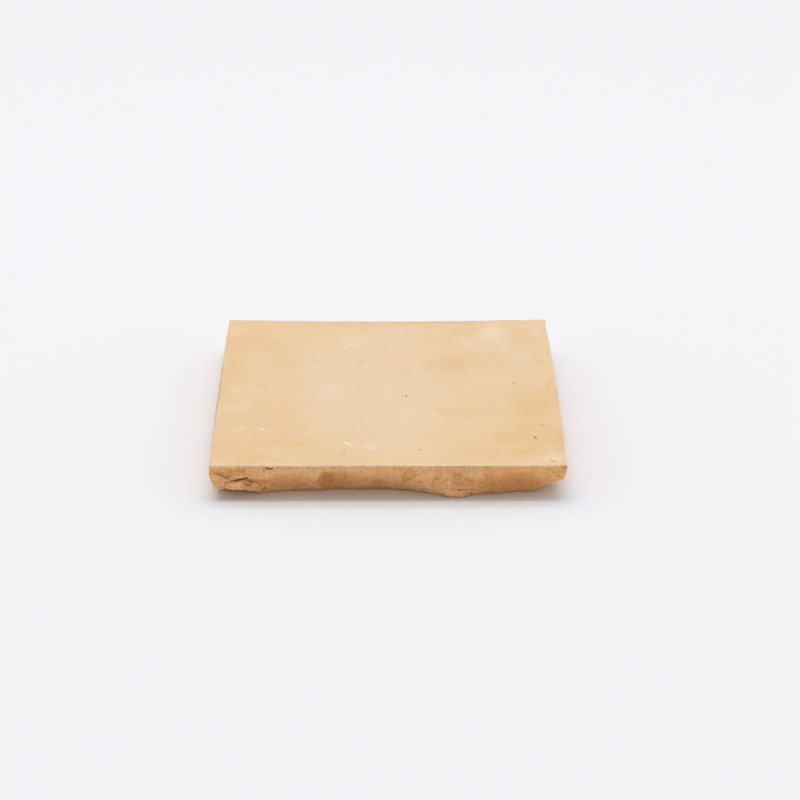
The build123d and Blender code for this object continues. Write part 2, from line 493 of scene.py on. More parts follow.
soft_patch, given, made = start_group(
    "soft_patch",
    {
        "Place": (0.0, 0.0, 0.0),
        "Centre": (0.0, 0.0, 0.0),
        "Reach": (1.0, 1.0, 1.0),
        "Turn": (0.0, 0.0, 0.0),
        "Core": 0.2,
    },
    ["Mask"],
)
from_centre = {0: given["Place"], 1: given["Centre"]}
offset = add_node(soft_patch, "VectorMath", from_centre, operation="SUBTRACT")
by_turn = {"Vector": offset.outputs[0], "Rotation": given["Turn"]}
turned = add_node(soft_patch, "VectorRotate", by_turn, rotation_type="EULER_XYZ")
in_reaches = {0: turned.outputs[0], 1: given["Reach"]}
scaled = add_node(soft_patch, "VectorMath", in_reaches, operation="DIVIDE")
far = add_node(soft_patch, "VectorMath", {0: scaled.outputs[0]}, operation="LENGTH")
mask = ramp(soft_patch, far.outputs["Value"], start=1.0, end=given["Core"], smooth=True)
soft_patch.links.new(mask, made["Mask"])

# The face's skin is fired pale buff, with a paler haze over its middle that is a painted sheen, and
# with ochre stains towards its edges. It has chalky scratches, a paler front edge that is wear and a
# painted highlight, and dark spots that are mostly painted shade in its pits.
buff = (0.83, 0.575, 0.325, 1)
warm_buff = (0.845, 0.61, 0.375, 1)
ochre = (0.815, 0.525, 0.245, 1)
painted_sheen = (0.845, 0.645, 0.445, 1)
pale_lime = (0.87, 0.69, 0.50, 1)
chalk_and_highlight = (0.87, 0.79, 0.67, 1)
stained_edge = (0.66, 0.340, 0.130, 1)
umber = (0.33, 0.16, 0.06, 1)


def blend_colours(tree, share, under, over):
    """The colour over laid on the colour under, by that share."""
    # Sockets 6 and 7 take the Mix node's colours, and output 2 gives its colour.
    inputs = {0: share, 6: under, 7: over}
    return add_node(tree, "Mix", inputs, data_type="RGBA").outputs[2]


def use_group(tree, group, inputs):
    """The outputs of one use of a node group, with those inputs."""
    return add_node(tree, "Group", inputs, node_tree=group).outputs


def start_material(name, roughness):
    """A material with its nodes and shader, and its piece's places in millimetres."""
    material = bpy.data.materials.new(name)
    material.use_nodes = True
    tree = material.node_tree
    shader = tree.nodes["Principled BSDF"]
    shader.inputs["Roughness"].default_value = roughness
    in_metres = add_node(tree, "TexCoord").outputs["Object"]
    to_mm = {"Vector": in_metres, "Scale": (1 / mm, 1 / mm, 1 / mm)}
    places = add_node(tree, "Mapping", to_mm).outputs[0]
    return material, tree, shader, places


def ragged(tree, places, size, amount):
    """The places shifted to and fro, so that what is laid there has ragged edges."""
    shift = add_node(tree, "TexNoise", {"Vector": places, "Scale": 1.0 / size, "Detail": 3.0})
    from_grey = {0: shift.outputs["Color"], 1: (0.5, 0.5, 0.5)}
    centred = add_node(tree, "VectorMath", from_grey, operation="SUBTRACT")
    by_amount = {0: centred.outputs[0], "Scale": amount}
    moves = add_node(tree, "VectorMath", by_amount, operation="SCALE").outputs[0]
    return add_node(tree, "VectorMath", {0: places, 1: moves}, operation="ADD").outputs[0]


def mottled(tree, places, size, first, second):
    """Two colours in cloudy patches of about that size."""
    clouds = {"Vector": places, "Scale": 1.0 / size, "Detail": 4.0, "Roughness": 0.62}
    cloud = add_node(tree, "TexNoise", clouds).outputs["Fac"]
    return blend_colours(tree, ramp(tree, cloud, start=0.35, end=0.65), first, second)


def grainy(tree, colour, tone, darkest, lightest):
    """The colour made darker and lighter by the grain's tone."""
    light = ramp(tree, tone, start=0.3, end=0.7, lowest=darkest, highest=lightest)
    return add_node(tree, "VectorMath", {0: colour, "Scale": light}, operation="SCALE").outputs[0]


def lay_on_face(tree, colour, places, patches, over, core=0.2):
    """Lays the colour over on the colour in soft patches.

    Each patch has its x and y, its reach along both, its turn in degrees and its
    strength. It goes right through the tile.
    """
    right_through = 1000.0
    for x, y, reach_x, reach_y, turn, strength in patches:
        patch = {"Place": places, "Centre": (x, y, 0.0), "Core": core}
        patch["Reach"] = (reach_x, reach_y, right_through)
        patch["Turn"] = (0.0, 0.0, -math.radians(turn))
        mask = use_group(tree, soft_patch, patch)["Mask"]
        colour = blend_colours(tree, calculate(tree, "MULTIPLY", mask, strength), colour, over)
    return colour


def finish_surface(tree, shader, colour, grain, depth, strength):
    """Gives the shader its colour, and the grain's relief of that depth."""
    tree.links.new(colour, shader.inputs["Base Color"])
    relief = {"Height": grain["Height"], "Distance": depth, "Strength": strength}
    bump = add_node(tree, "Bump", relief)
    tree.links.new(bump.outputs[0], shader.inputs["Normal"])


skin, tree, shader, places = start_material("fired_skin", 0.55)
loose = ragged(tree, places, size=6.0, amount=7.0)
crisp = ragged(tree, places, size=1.2, amount=0.9)
colour = mottled(tree, loose, 14.0, buff, warm_buff)

# Each patch is written as lay_on_face says.
# The patches of pale haze are a painted sheen of the lamps.
sheen_patches = [
    (-3.0, 0.0, 34.0, 52.0, 0.0, 0.65),
    (-17.0, 5.0, 12.0, 22.0, 10.0, 0.45),
    (4.0, -28.0, 9.0, 18.0, 0.0, 0.50),
    (-3.0, 34.0, 22.0, 12.0, 0.0, 0.45),
    (-24.0, 26.0, 10.0, 9.0, 0.0, 0.35),
    (28.0, 32.0, 13.0, 7.0, 0.0, 0.55),
    (8.0, 41.0, 8.0, 5.0, 0.0, 0.4),
    (40.0, 22.0, 8.0, 14.0, 0.0, 0.4),
    (14.0, -4.0, 12.0, 8.0, 0.0, 0.20),
]
colour = lay_on_face(tree, colour, loose, sheen_patches, painted_sheen)
ochre_patches = [
    (-46.0, 30.0, 6.0, 22.0, 0.0, 0.5),
    (-38.0, 33.0, 7.0, 12.0, 20.0, 0.45),
    (-46.0, 15.0, 4.0, 7.0, -15.0, 0.5),
    (-47.0, 2.0, 6.0, 16.0, 0.0, 0.4),
    (-45.0, -40.0, 12.0, 11.0, 0.0, 0.35),
    (-36.0, -45.5, 11.0, 5.0, 0.0, 0.75),
    (-31.0, -35.0, 13.0, 7.0, 0.0, 0.45),
    (-25.0, -35.0, 3.0, 3.0, 0.0, 0.4),
    (-30.0, -22.0, 12.0, 14.0, 0.0, 0.2),
    (-37.0, 3.2, 2.6, 2.2, 0.0, 0.8),
    (20.0, 18.0, 5.5, 8.0, 0.0, 0.9),
    (24.0, 19.0, 3.0, 3.0, 0.0, 0.35),
    (14.0, 17.0, 4.0, 7.0, 10.0, 0.45),
    (-8.0, 18.0, 5.0, 4.0, 0.0, 0.35),
    (4.0, 13.0, 7.0, 6.0, 0.0, 0.3),
    (20.0, -15.5, 11.0, 4.5, -12.0, 0.4),
    (25.0, 43.0, 9.0, 4.0, 0.0, 0.35),
    (43.0, -12.0, 10.0, 16.0, 0.0, 0.8),
    (47.5, 0.0, 2.5, 10.0, 0.0, 0.6),
    (33.0, -33.0, 6.0, 6.0, 0.0, 0.8),
    (41.0, -30.0, 11.0, 13.0, 0.0, 0.8),
    (39.0, -42.0, 8.0, 5.0, 10.0, 0.95),
    (29.0, -42.0, 11.0, 8.0, 0.0, 0.4),
    (48.0, -34.0, 3.0, 13.0, 0.0, 0.9),
    (10.0, 48.3, 46.0, 1.8, 0.0, 0.9),
]
colour = lay_on_face(tree, colour, loose, ochre_patches, ochre)
pale_patches = [
    (33.0, 40.0, 6.5, 8.5, 0.0, 1.0),
    (35.0, 29.0, 2.6, 6.0, 15.0, 0.6),
    (25.0, 33.0, 5.0, 4.0, 20.0, 0.5),
    (43.5, 23.0, 1.6, 2.6, 0.0, 0.5),
    (46.0, 41.0, 4.0, 6.0, 0.0, 0.45),
    (-11.0, 33.0, 7.0, 5.0, 20.0, 0.5),
    (1.0, 43.0, 7.0, 4.0, 0.0, 0.45),
    (-23.0, 15.0, 4.5, 4.5, 0.0, 0.45),
    (-18.5, 18.5, 3.5, 2.8, 0.0, 0.45),
    (-28.5, 9.0, 2.5, 2.5, 0.0, 0.45),
    (-17.0, -1.0, 5.0, 8.0, 0.0, 0.4),
    (-45.0, -1.5, 3.2, 4.0, 0.0, 0.6),
    (-43.0, -13.0, 5.5, 4.5, 0.0, 0.3),
    (-42.0, -27.0, 4.5, 2.8, 0.0, 0.45),
    (-5.0, -38.0, 5.5, 4.5, 0.0, 0.6),
    (6.5, -14.0, 2.2, 3.2, 0.0, 0.45),
    (18.5, -7.0, 2.4, 2.4, 0.0, 0.4),
    (10.0, 13.5, 1.5, 1.8, 0.0, 0.5),
    (8.5, 8.0, 1.2, 3.0, 0.0, 0.35),
    (46.0, -45.0, 5.0, 3.5, 30.0, 0.5),
    (-32.0, -48.0, 6.0, 1.5, 0.0, 0.3),
    (-46.5, 41.0, 4.5, 7.0, 0.0, 0.5),
]
colour = lay_on_face(tree, colour, loose, pale_patches, pale_lime, core=0.1)
edge_stains = [
    (-49.8, -5.0, 0.7, 44.0, 0.0, 0.8),
    (25.0, 49.7, 26.0, 0.7, 0.0, 0.8),
]
colour = lay_on_face(tree, colour, crisp, edge_stains, stained_edge)
# Along the front edge the skin is painted paler: wear, and a painted highlight where the edge catches
# the light.
arris_highlight_and_wear = [
    (-30.0, -49.9, 22.0, 0.6, 0.0, 0.35),
    (22.0, -49.9, 30.0, 0.65, 0.0, 0.55),
]
colour = lay_on_face(tree, colour, crisp, arris_highlight_and_wear, chalk_and_highlight, core=0.5)
chalk_marks = [
    (-12.5, 29.0, 0.8, 1.9, 10.0, 0.6),
    (-36.0, -27.0, 2.2, 0.55, -33.0, 1.0),
    (-11.5, -36.0, 3.5, 0.65, -38.0, 1.0),
    (46.5, -45.8, 1.6, 0.65, 8.0, 0.9),
    (42.5, -26.3, 1.0, 0.5, 0.0, 0.5),
    (0.5, -5.0, 1.0, 1.6, 0.0, 0.35),
    (17.3, -49.8, 1.0, 0.5, 0.0, 0.3),
]
colour = lay_on_face(tree, colour, crisp, chalk_marks, chalk_and_highlight, core=0.3)
# Most dark marks sit in the face's pits and are painted shade there; the rest are dark stains.
dark_marks = [
    (5.5, -5.0, 0.28, 1.2, 0.0, 0.9),
    (37.2, 3.5, 0.8, 0.55, 0.0, 0.6),
    (41.7, -32.5, 0.6, 0.9, 0.0, 0.9),
    (44.0, -25.0, 1.2, 0.8, 0.0, 0.25),
    (9.0, -40.0, 0.55, 0.55, 0.0, 0.7),
    (-12.2, -42.3, 1.1, 0.4, 0.0, 0.45),
    (45.8, -47.0, 1.3, 0.5, 0.0, 0.5),
    (45.7, -10.0, 0.55, 0.55, 0.0, 0.3),
    (46.0, 19.0, 1.6, 1.2, 0.0, 0.15),
    (38.3, -33.0, 0.4, 0.4, 0.0, 0.4),
    (34.3, -13.5, 0.4, 0.7, 0.0, 0.25),
    (-7.0, -20.5, 0.35, 0.9, 0.0, 0.35),
    (35.0, -35.0, 0.5, 0.5, 0.0, 0.2),
    (-28.0, -15.0, 1.6, 1.2, 0.0, 0.10),
]
colour = lay_on_face(tree, colour, crisp, dark_marks, umber, core=0.3)
grain = use_group(tree, clay_grain, {"Place": places, "Size": 0.5})
colour = grainy(tree, colour, grain["Tone"], darkest=0.89, lightest=1.02)

# The wiping left faint streaks from left to right, and the skin's sheen is uneven.
along_streaks = {"Vector": places, "Scale": (0.03, 0.9, 0.9)}
streak_places = add_node(tree, "Mapping", along_streaks).outputs[0]
streak = {"Vector": streak_places, "Scale": 1.0, "Detail": 2.0}
streaks = add_node(tree, "TexNoise", streak).outputs["Fac"]
colour = grainy(tree, colour, streaks, darkest=0.985, lightest=1.012)
sheen_cloud = {"Vector": loose, "Scale": 0.07, "Detail": 4.0}
sheen_clouds = add_node(tree, "TexNoise", sheen_cloud).outputs["Fac"]
skin_roughness = ramp(tree, sheen_clouds, start=0.3, end=0.7, lowest=0.5, highest=0.68)
tree.links.new(skin_roughness, shader.inputs["Roughness"])
finish_surface(tree, shader, colour, grain, depth=0.04 * mm, strength=0.5)

# The broken body is the same clay inside. It is more orange than the skin, and deeper orange in the
# scars, partly its own colour and partly painted shade. What stands proud is paler, partly dust and
# partly painted highlight, and the cracks are painted dark with shade.
fired_orange = (0.93, 0.440, 0.160, 1)
sandy = (0.96, 0.525, 0.215, 1)
deep_orange = (0.72, 0.290, 0.088, 1)
dust_and_painted_light = (0.98, 0.610, 0.320, 1)
burnt_brown_and_shade = (0.46, 0.178, 0.056, 1)
pale_grain = (1.0, 0.665, 0.360, 1)
yellow_ochre = (0.97, 0.560, 0.205, 1)
bare_brown_and_shade = (0.18, 0.058, 0.018, 1)


def lay_on_front(tree, colour, places, patches, over, core=0.2):
    """Lays the colour over on the colour in soft patches on the front side.

    Each patch has its place along and up the front, its reach along both, its turn
    in degrees and its strength. It fades out on its way into the tile.
    """
    front = -50.0
    inwards = 25.0
    for along, up, reach_along, reach_up, turn, strength in patches:
        patch = {"Place": places, "Centre": (along, front, up), "Core": core}
        patch["Reach"] = (reach_along, inwards, reach_up)
        patch["Turn"] = (0.0, math.radians(turn), 0.0)
        mask = use_group(tree, soft_patch, patch)["Mask"]
        colour = blend_colours(tree, calculate(tree, "MULTIPLY", mask, strength), colour, over)
    return colour


body, tree, shader, places = start_material("broken_body", 0.9)
shader.inputs["Specular IOR Level"].default_value = 0.25
loose = ragged(tree, places, size=4.0, amount=3.0)
crisp = ragged(tree, places, size=1.0, amount=0.8)
close = ragged(tree, places, size=0.5, amount=0.3)
colour = mottled(tree, loose, 5.0, fired_orange, sandy)

# The clay is sandier towards the face. Towards the foot it is paler: partly dust, and partly painted
# light that lifts the shade there.
height = add_node(tree, "SeparateXYZ", {0: crisp}).outputs["Z"]
sandy_share = ramp(tree, height, start=6.5, end=10.5, highest=0.4, smooth=True)
colour = blend_colours(tree, sandy_share, colour, sandy)
foot_dust_and_light = ramp(tree, height, start=4.5, end=0.8, highest=0.45, smooth=True)
colour = blend_colours(tree, foot_dust_and_light, colour, dust_and_painted_light)

# On the hidden sides the scars, which lie further in, are a deeper orange: partly the clay's colour
# and partly painted shade of the recess.
from_middle = add_node(tree, "VectorMath", {0: loose}, operation="ABSOLUTE").outputs[0]
from_middle = add_node(tree, "SeparateXYZ", {0: from_middle}).outputs
outermost = calculate(tree, "MAXIMUM", from_middle["X"], from_middle["Y"])
in_scar = ramp(tree, outermost, start=49.2, end=45.8, highest=0.65, smooth=True)
how_far_back = add_node(tree, "SeparateXYZ", {0: places}).outputs["Y"]
off_front = ramp(tree, how_far_back, start=-47.0, end=-40.0)
scar_tone_and_shade = calculate(tree, "MULTIPLY", in_scar, off_front)
colour = blend_colours(tree, scar_tone_and_shade, colour, deep_orange)

# On the front the scars' floors are deeper orange, partly the clay's colour and partly painted shade
# in the hollows. The bands are ochre, and the pale patches are partly dust and partly painted light.
# Each patch is written as lay_on_front says.
deep_patches = [
    (-43.5, 8.6, 7.5, 2.2, 6.0, 0.55),
    (-37.5, 4.6, 4.5, 2.6, 0.0, 0.45),
    (-30.0, 4.0, 6.0, 4.0, 0.0, 0.25),
    (13.8, 5.2, 3.0, 2.4, 0.0, 0.5),
    (-3.0, 2.4, 3.5, 2.4, 0.0, 0.45),
    (19.2, 7.8, 1.6, 1.8, 0.0, 0.5),
    (21.5, 4.4, 4.0, 2.4, 0.0, 0.5),
    (28.5, 5.5, 4.5, 5.5, 0.0, 0.55),
    (35.5, 4.0, 9.0, 5.0, 0.0, 0.25),
    (47.0, 7.5, 3.0, 2.6, 0.0, 0.45),
    (-24.5, 2.6, 3.6, 1.8, 0.0, 0.35),
    (-21.6, 1.1, 1.6, 0.9, 0.0, 0.3),
    (49.5, 10.2, 0.9, 1.3, 0.0, 0.6),
]
colour = lay_on_front(tree, colour, loose, deep_patches, deep_orange)
scar_floors = [
    (-15.5, 4.4, 5.0, 5.2, 0.0, 0.30),
    (-17.4, 4.2, 2.6, 4.2, 0.0, 0.60),
    (34.5, 2.5, 8.8, 7.2, 0.0, 0.40),
]
colour = lay_on_front(tree, colour, close, scar_floors, deep_orange, core=0.8)
rough_floors = [
    (5.6, 7.7, 2.7, 3.3, 0.0, 0.65),
    (4.9, 5.6, 1.6, 2.2, 0.0, 0.45),
    (19.0, 7.0, 1.6, 2.6, 0.0, 0.5),
    (-37.0, 4.9, 4.4, 2.6, 0.0, 0.7),
    (-44.5, 7.9, 4.5, 1.5, 8.0, 0.5),
    (22.0, 5.6, 3.4, 1.6, 0.0, 0.4),
]
colour = lay_on_front(tree, colour, crisp, rough_floors, deep_orange, core=0.4)
ochre_bands = [
    (-20.0, 9.6, 12.0, 1.6, 0.0, 0.6),
    (-12.0, 9.3, 8.0, 1.4, 0.0, 0.5),
    (1.5, 8.8, 4.5, 1.8, 0.0, 0.35),
    (12.5, 9.6, 4.5, 1.2, 0.0, 0.3),
    (44.0, 8.8, 4.0, 1.6, 0.0, 0.3),
]
colour = lay_on_front(tree, colour, crisp, ochre_bands, yellow_ochre, core=0.3)
# The pale patches are partly dust and partly painted light: highlights on facets and lips that catch
# the light, and a lift of the shade on low scoop floors.
dust_and_light_patches = [
    (-47.0, 6.7, 1.5, 0.9, -12.0, 0.7),
    (-46.9, 5.4, 1.2, 0.7, 20.0, 0.55),
    (-45.8, 4.8, 0.9, 0.5, 30.0, 0.6),
    (-42.2, 5.1, 1.9, 0.6, 0.0, 0.75),
    (-42.6, 4.3, 1.6, 0.4, 0.0, 0.45),
    (-42.8, 8.0, 0.35, 0.35, 0.0, 0.7),
    (-32.6, 10.6, 0.9, 0.35, 0.0, 0.8),
    (-16.5, 0.2, 2.0, 0.4, 0.0, 0.7),
    (-49.2, 5.6, 0.8, 3.0, 0.0, 0.6),
    (-21.0, 7.5, 3.6, 4.4, 0.0, 0.75),
    (-20.2, 5.3, 0.5, 2.0, 20.0, 0.6),
    (-25.5, 9.2, 7.0, 2.0, 0.0, 0.35),
    (-11.0, 9.5, 2.4, 0.5, 8.0, 0.7),
    (-7.0, 6.5, 6.5, 3.4, 0.0, 0.45),
    (0.2, 4.0, 4.0, 4.0, 0.0, 0.55),
    (-0.2, 6.2, 0.5, 1.0, 0.0, 0.6),
    (3.0, 5.6, 0.5, 2.4, 38.0, 0.6),
    (7.6, 5.8, 1.4, 0.5, -8.0, 0.7),
    (6.2, 2.4, 3.8, 1.9, 0.0, 0.85),
    (12.0, 2.2, 5.0, 1.4, -12.0, 0.8),
    (10.5, 8.5, 3.4, 2.4, 0.0, 0.50),
    (16.0, 7.4, 2.4, 2.4, 0.0, 0.30),
    (16.8, 2.2, 0.5, 1.6, 50.0, 0.5),
    (24.0, 8.2, 4.0, 2.0, 0.0, 0.45),
    (22.6, 3.1, 0.8, 0.3, 0.0, 0.8),
    (21.9, 1.9, 0.7, 0.3, 0.0, 0.7),
    (42.5, 7.9, 2.0, 0.5, 18.0, 0.6),
    (48.1, 7.9, 0.7, 0.6, 0.0, 0.4),
]
colour = lay_on_front(tree, colour, close, dust_and_light_patches, dust_and_painted_light, core=0.3)

# A paler line runs along the arris: worn dust, and a painted highlight where the edge catches the
# light. The front's dark spots are mostly painted shade in its dents and cracks, and the rest are
# burnt spots.
arris_cloud = {"Vector": loose, "Scale": 0.35, "Detail": 3.0}
arris_patchiness = add_node(tree, "TexNoise", arris_cloud).outputs["Fac"]
arris = ramp(tree, height, start=10.1, end=10.9, highest=1.5)
arris_dust_and_highlight = calculate(tree, "MULTIPLY", arris, arris_patchiness)
colour = blend_colours(tree, arris_dust_and_highlight, colour, dust_and_painted_light)
# These dark spots are mostly painted shade in the dents, in the cracks and under the chip's lip, and
# the rest are burnt spots.
shade_and_burnt_spots = [
    (-33.3, 10.15, 0.9, 0.28, 18.0, 0.9),
    (-32.3, 9.95, 0.8, 0.28, -12.0, 0.9),
    (-34.3, 9.6, 0.6, 0.35, 0.0, 0.5),
    (-45.2, 5.6, 0.9, 0.45, 0.0, 0.7),
    (-38.4, 5.6, 2.8, 1.3, 10.0, 0.8),
    (-36.0, 5.0, 0.9, 0.4, 0.0, 0.55),
    (-36.2, 3.2, 0.7, 0.6, 0.0, 0.5),
    (-33.5, 5.5, 0.5, 0.5, 0.0, 0.6),
    (-34.7, 1.6, 1.1, 0.8, 0.0, 0.6),
    (-32.2, 3.0, 0.9, 0.4, 0.0, 0.4),
    (-17.8, 6.8, 0.9, 0.5, -20.0, 0.45),
    (-13.2, 0.6, 0.7, 0.4, 0.0, 0.5),
    (-8.0, 1.0, 1.6, 0.6, 0.0, 0.4),
    (-6.2, 4.7, 0.7, 0.3, 0.0, 0.6),
    (0.0, 8.6, 0.8, 0.4, 0.0, 0.3),
    (3.25, 10.1, 0.4, 0.4, 0.0, 0.5),
    (4.4, 4.2, 0.8, 0.6, 0.0, 0.5),
    (5.6, 5.1, 0.7, 0.5, 0.0, 0.5),
    (9.2, 4.95, 0.45, 0.28, 0.0, 1.0),
    (8.5, 4.3, 0.35, 0.25, 0.0, 0.6),
    (5.6, 2.5, 1.0, 0.18, 0.0, 0.6),
    (12.6, 3.9, 1.6, 0.3, 0.0, 0.5),
    (13.5, 6.7, 1.2, 0.7, 0.0, 0.5),
    (12.2, 5.2, 0.4, 0.7, 0.0, 0.5),
    (15.1, 5.4, 0.6, 0.4, -20.0, 0.6),
    (18.3, 9.0, 0.3, 0.7, 0.0, 0.4),
    (18.0, 5.4, 0.9, 0.7, 0.0, 0.45),
    (20.6, 6.0, 0.7, 0.4, 0.0, 0.4),
    (21.9, 8.9, 1.6, 0.25, 0.0, 0.4),
    (23.1, 6.0, 1.3, 0.7, 0.0, 0.45),
    (19.7, 2.6, 0.45, 0.4, 0.0, 0.9),
    (21.6, 2.6, 2.2, 0.22, -8.0, 0.8),
    (26.7, 8.4, 0.5, 0.8, 20.0, 0.45),
    (27.4, 4.0, 0.9, 0.8, 0.0, 0.55),
    (28.6, 1.6, 0.9, 0.6, 0.0, 0.6),
    (27.3, 10.5, 1.0, 0.25, 0.0, 0.4),
    (31.0, 5.0, 0.45, 0.35, 0.0, 0.5),
    (45.7, 8.9, 0.8, 0.35, 0.0, 0.55),
    (44.0, 7.6, 0.6, 0.4, 0.0, 0.5),
    (47.0, 7.6, 0.7, 0.4, 0.0, 0.6),
    (41.3, 9.3, 0.6, 0.3, 0.0, 0.35),
]
colour = lay_on_front(tree, colour, close, shade_and_burnt_spots, burnt_brown_and_shade, core=0.3)
chipped_arris = [(17.1, 10.9, 0.7, 0.6, 0.0, 0.8)]
colour = lay_on_front(tree, colour, close, chipped_arris, pale_lime)

# The grain shows more where the clay is torn, and less on the hidden sides.
grain = use_group(tree, clay_grain, {"Place": places, "Size": 0.55})
torn = add_node(tree, "Attribute", attribute_name="torn").outputs["Fac"]
shown_by_tears = ramp(tree, torn, start=0.0, end=0.12, lowest=0.6, highest=0.95)
shown_by_side = ramp(tree, off_front, start=0.0, end=1.0, lowest=1.0, highest=0.6)
shown = calculate(tree, "MULTIPLY", shown_by_tears, shown_by_side)
pale_tone = ramp(tree, grain["Tone"], start=0.49, end=0.63, highest=0.60)
pale_share = calculate(tree, "MULTIPLY", pale_tone, shown)
colour = blend_colours(tree, pale_share, colour, pale_grain)
dark_tone = ramp(tree, grain["Tone"], start=0.5, end=0.35, highest=0.45)
dark_share = calculate(tree, "MULTIPLY", dark_tone, shown)
colour = blend_colours(tree, dark_share, colour, burnt_brown_and_shade)
pore_share = calculate(tree, "MULTIPLY", grain["Pores"], 0.15)
colour = blend_colours(tree, pore_share, colour, burnt_brown_and_shade)
# The pale edges of facets, lips and ridges are painted highlights in the colour of dust.
edge_highlights = [
    (-47.5, 6.9, 1.6, 0.7, 25.0, 0.6),
    (-46.7, 5.1, 1.7, 0.6, 20.0, 0.6),
    (-42.4, 4.9, 2.4, 0.65, 0.0, 0.7),
    (-40.9, 5.85, 0.7, 0.25, 0.0, 0.8),
    (-22.3, 3.4, 0.45, 2.4, 50.0, 0.8),
    (-20.6, 2.1, 0.4, 1.8, 55.0, 0.8),
    (-18.6, 0.7, 0.5, 2.6, 66.0, 0.8),
    (37.8, 9.3, 4.6, 0.35, 11.0, 0.6),
    (7.0, 3.3, 2.6, 0.25, 3.0, 0.6),
    (6.6, 2.2, 2.8, 0.2, 0.0, 0.5),
    (22.6, 3.15, 0.9, 0.25, 0.0, 0.7),
    (-32.7, 10.6, 1.1, 0.25, 0.0, 0.6),
]
colour = lay_on_front(tree, colour, close, edge_highlights, dust_and_painted_light, core=0.3)
# These open pores are painted shade in two dents and along the deepest crack.
pits_and_crack_shade = [
    (9.2, 4.95, 0.5, 0.3, 0.0, 0.9),
    (8.5, 4.3, 0.3, 0.2, 0.0, 0.5),
    (19.7, 2.6, 0.35, 0.3, 0.0, 0.4),
    (21.6, 2.62, 2.3, 0.22, 2.0, 0.75),
]
colour = lay_on_front(tree, colour, close, pits_and_crack_shade, bare_brown_and_shade, core=0.4)

# What stands proud is paler, partly dust and partly a painted highlight. Creases are darker with
# painted shade, and the deepest are painted nearly black with shade.
stands = add_node(tree, "Attribute", attribute_name="crease").outputs["Fac"]
proud_dust_and_highlight = ramp(tree, stands, start=0.02, end=0.14, highest=0.55)
colour = blend_colours(tree, proud_dust_and_highlight, colour, dust_and_painted_light)
crease_shade = ramp(tree, stands, start=-0.05, end=-0.22, highest=0.5)
colour = blend_colours(tree, crease_shade, colour, burnt_brown_and_shade)
crack_shade = ramp(tree, stands, start=-0.22, end=-0.50, highest=0.85)
colour = blend_colours(tree, crack_shade, colour, bare_brown_and_shade)
finish_surface(tree, shader, colour, grain, depth=0.2 * mm, strength=0.5)

# The back is the same orange body, left as it dried. It keeps the dust of the
# ground in clouds, with more specks of lime and open pores than the sides.
underside, tree, shader, places = start_material("dusty_back", 0.95)
colour = mottled(tree, places, 11.0, fired_orange, dust_and_painted_light)
grain = use_group(tree, clay_grain, {"Place": places, "Size": 0.8})
colour = grainy(tree, colour, grain["Tone"], darkest=0.85, lightest=1.1)
speck_share = calculate(tree, "MULTIPLY", grain["Specks"], 0.5)
colour = blend_colours(tree, speck_share, colour, dust_and_painted_light)
pore_share = calculate(tree, "MULTIPLY", grain["Pores"], 0.4)
colour = blend_colours(tree, pore_share, colour, bare_brown_and_shade)
finish_surface(tree, shader, colour, grain, depth=0.15 * mm, strength=0.9)

# The fired skin lies on what faces up near the top, and the dust on what faces down
# near the ground. All between them is the broken body. The skin ends sooner near the
# face's edges, so that the chips there show the body.
skin_normal = 0.6
skin_depth = 1.3
skin_depth_at_edges = 0.7
edges_begin = 49.0
dusty_normal = -0.85
dusty_height = 0.4
finishes = [skin, body, underside]
for material in finishes:
    tile.data.materials.append(material)
normals = read_vectors(tile.data.polygons, "normal")
centres = read_vectors(tile.data.polygons, "center") / mm
at_edges = np.abs(centres[:, :2]).max(axis=1) > edges_begin
skin_ends = high_mm[2] - np.where(at_edges, skin_depth_at_edges, skin_depth)
on_skin = (normals[:, 2] > skin_normal) & (centres[:, 2] > skin_ends)
on_back = (normals[:, 2] < dusty_normal) & (centres[:, 2] < dusty_height)
finish_of_each = np.full(len(centres), finishes.index(body), np.int32)
finish_of_each[on_back] = finishes.index(underside)
finish_of_each[on_skin] = finishes.index(skin)
tile.data.polygons.foreach_set("material_index", finish_of_each)
tile.data.update()

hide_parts("zellige_tile")
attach(tile, "root")

# The ground is a sheet of matt white paper. Round the tile it is a little cooler,
# which takes back some of the orange that the sides throw on it.
ground_reach = 6.0
cool_reach = 50.0
cool_ends = 62.0
paper_white = (0.862, 0.866, 0.888, 1)
cool_white = (0.815, 0.868, 0.930, 1)
ground_shape = bmesh.new()
bmesh.ops.create_grid(ground_shape, x_segments=1, y_segments=1, size=ground_reach)
ground_mesh = bpy.data.meshes.new("ground")
ground_shape.to_mesh(ground_mesh)
ground_shape.free()
ground = bpy.data.objects.new("ground", ground_mesh)
bpy.context.scene.collection.objects.link(ground)
paper, tree, shader, places = start_material("white_paper", 1.0)
from_middle = add_node(tree, "VectorMath", {0: places}, operation="ABSOLUTE").outputs[0]
from_middle = add_node(tree, "SeparateXYZ", {0: from_middle}).outputs
outermost = calculate(tree, "MAXIMUM", from_middle["X"], from_middle["Y"])
near_tile = ramp(tree, outermost, start=cool_ends, end=cool_reach, smooth=True)
paper_colour = blend_colours(tree, near_tile, paper_white, cool_white)
tree.links.new(paper_colour, shader.inputs["Base Color"])
shader.inputs["Specular IOR Level"].default_value = 0.0
ground.data.materials.append(paper)

